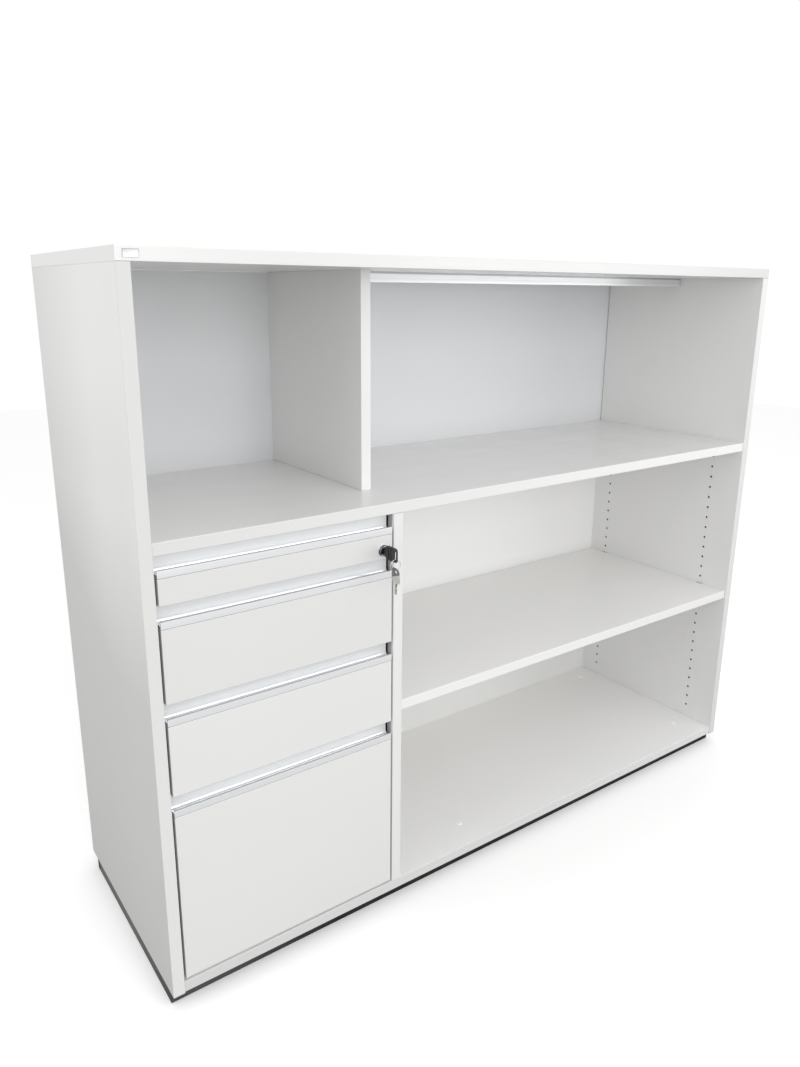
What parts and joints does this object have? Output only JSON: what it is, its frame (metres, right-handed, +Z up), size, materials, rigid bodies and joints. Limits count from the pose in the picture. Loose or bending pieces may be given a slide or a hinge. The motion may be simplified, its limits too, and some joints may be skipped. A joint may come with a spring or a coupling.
{
  "type": "office sideboard",
  "caption": "Low white office sideboard with a lockable drawer stack on the left, open shelf bays beside and above it, an adjustable shelf and a dark plinth.",
  "frame": {"origin": "on the floor, under the middle of the carcass", "axes": "+X to the right as seen from the front, +Y from the front to the back, +Z up"},
  "size_m": [1.417, 0.4723, 1.151],
  "materials": {
    "white_board": "satin melamine",
    "back_board": "satin melamine",
    "plinth_board": "matte dark melamine",
    "beech_dowel": "raw",
    "zinc_steel": "zinc plated",
    "grip_aluminium": "satin anodised",
    "box_steel": "powder coated",
    "foot_plastic": "matte",
    "cap_plastic": "glossy",
    "support_plastic": "matte",
    "lock_chrome": "polished",
    "key_steel": "nickel plated",
    "key_plastic": "matte"
  },
  "bodies": {
    "carcass": {"top_panel": "white_board", "left_side_panel": "white_board", "right_side_panel": "white_board", "bottom_panel": "white_board", "middle_shelf": "white_board", "upper_divider": "white_board", "lower_divider": "white_board", "upper_back_panel": "back_board", "lower_back_panel": "back_board", "carcass_dowels": "beech_dowel", "back_panel_screws": "zinc_steel", "plinth_front_board": "plinth_board", "plinth_rear_board": "plinth_board", "plinth_left_board": "plinth_board", "plinth_right_board": "plinth_board", "leveller_sockets": "zinc_steel", "leveller_feet": "foot_plastic", "leveller_caps": "cap_plastic", "shelf_supports": "support_plastic", "stiffener_rail": "grip_aluminium", "stiffener_rail_screws": "zinc_steel", "bare_name_plate": "grip_aluminium", "runners_outer": "zinc_steel", "locking_bar_guides": "zinc_steel"},
    "key": {"lock_core": "key_steel", "key_blade": "key_steel", "key_neck": "key_plastic"},
    "folding_key_head": {"key_head": "key_plastic"},
    "hanging_ring": {"key_ring": "key_steel"},
    "bolt": {"lock_bolt": "zinc_steel"},
    "bar": {"locking_bar": "zinc_steel"},
    "shelf": {"adjustable_shelf": "white_board"},
    "drawer_1": {"drawer_1_front": "white_board", "drawer_1_grip_rail": "grip_aluminium", "drawer_1_box": "box_steel", "drawer_1_front_screws": "zinc_steel", "drawer_1_runners_inner": "zinc_steel", "lock_housing": "lock_chrome", "lock_case": "zinc_steel"},
    "drawer_1_runners": {"drawer_1_runners_middle": "zinc_steel"},
    "drawer_2": {"drawer_2_front": "white_board", "drawer_2_grip_rail": "grip_aluminium", "drawer_2_box": "box_steel", "drawer_2_front_screws": "zinc_steel", "drawer_2_runners_inner": "zinc_steel"},
    "drawer_2_runners": {"drawer_2_runners_middle": "zinc_steel"},
    "drawer_3": {"drawer_3_front": "white_board", "drawer_3_grip_rail": "grip_aluminium", "drawer_3_box": "box_steel", "drawer_3_front_screws": "zinc_steel", "drawer_3_runners_inner": "zinc_steel"},
    "drawer_3_runners": {"drawer_3_runners_middle": "zinc_steel"},
    "drawer_4": {"drawer_4_front": "white_board", "drawer_4_grip_rail": "grip_aluminium", "drawer_4_box": "box_steel", "drawer_4_front_screws": "zinc_steel", "drawer_4_runners_inner": "zinc_steel", "hanging_file_rails": "zinc_steel"},
    "drawer_4_runners": {"drawer_4_runners_middle": "zinc_steel"}
  },
  "joints": [
    {"name": "drawer_1_slide", "type": "slide", "parent": "carcass", "child": "drawer_1", "axis": [0, -1, 0], "range_m": [0, 0.34]},
    {"name": "drawer_1_runner_slide", "type": "slide", "parent": "carcass", "child": "drawer_1_runners", "axis": [0, -1, 0], "range_m": [0, 0.17]},
    {"name": "drawer_2_slide", "type": "slide", "parent": "carcass", "child": "drawer_2", "axis": [0, -1, 0], "range_m": [0, 0.34]},
    {"name": "drawer_2_runner_slide", "type": "slide", "parent": "carcass", "child": "drawer_2_runners", "axis": [0, -1, 0], "range_m": [0, 0.17]},
    {"name": "drawer_3_slide", "type": "slide", "parent": "carcass", "child": "drawer_3", "axis": [0, -1, 0], "range_m": [0, 0.34]},
    {"name": "drawer_3_runner_slide", "type": "slide", "parent": "carcass", "child": "drawer_3_runners", "axis": [0, -1, 0], "range_m": [0, 0.17]},
    {"name": "drawer_4_slide", "type": "slide", "parent": "carcass", "child": "drawer_4", "axis": [0, -1, 0], "range_m": [0, 0.34]},
    {"name": "drawer_4_runner_slide", "type": "slide", "parent": "carcass", "child": "drawer_4_runners", "axis": [0, -1, 0], "range_m": [0, 0.17]},
    {"name": "key_turn", "type": "hinge", "parent": "drawer_1", "child": "key", "pos_m": [-0.3115, -0.216, 0.692], "axis": [0, 1, 0], "range_deg": [0, 90]},
    {"name": "key_head_fold", "type": "hinge", "parent": "key", "child": "folding_key_head", "pos_m": [-0.3115, -0.2374, 0.692], "axis": [0, 0, 1], "range_deg": [-90, 90]},
    {"name": "bolt_slide", "type": "slide", "parent": "drawer_1", "child": "bolt", "axis": [1, 0, 0], "range_m": [0, 0.006]},
    {"name": "bar_lift", "type": "slide", "parent": "carcass", "child": "bar", "axis": [0, 0, 1], "range_m": [0, 0.006]},
    {"name": "ring_hang", "type": "hinge", "parent": "folding_key_head", "child": "hanging_ring", "pos_m": [-0.3115, -0.25035, 0.6826], "axis": [0, 1, 0], "range_deg": [-90, 0]},
    {"name": "shelf_lift", "type": "slide", "parent": "carcass", "child": "shelf", "axis": [0, 0, 1], "range_m": [0, 0.3]}
  ],
  "couplings": [
    {"joint": "drawer_1_runner_slide", "follows": "drawer_1_slide", "ratio": 0.5},
    {"joint": "drawer_2_runner_slide", "follows": "drawer_2_slide", "ratio": 0.5},
    {"joint": "drawer_3_runner_slide", "follows": "drawer_3_slide", "ratio": 0.5},
    {"joint": "drawer_4_runner_slide", "follows": "drawer_4_slide", "ratio": 0.5},
    {"joint": "key_turn", "follows": "bolt_slide", "rad_per_m": 261.8},
    {"joint": "bar_lift", "follows": "bolt_slide", "ratio": 1},
    {"joint": "ring_hang", "follows": "bolt_slide", "rad_per_m": -261.8}
  ]
}
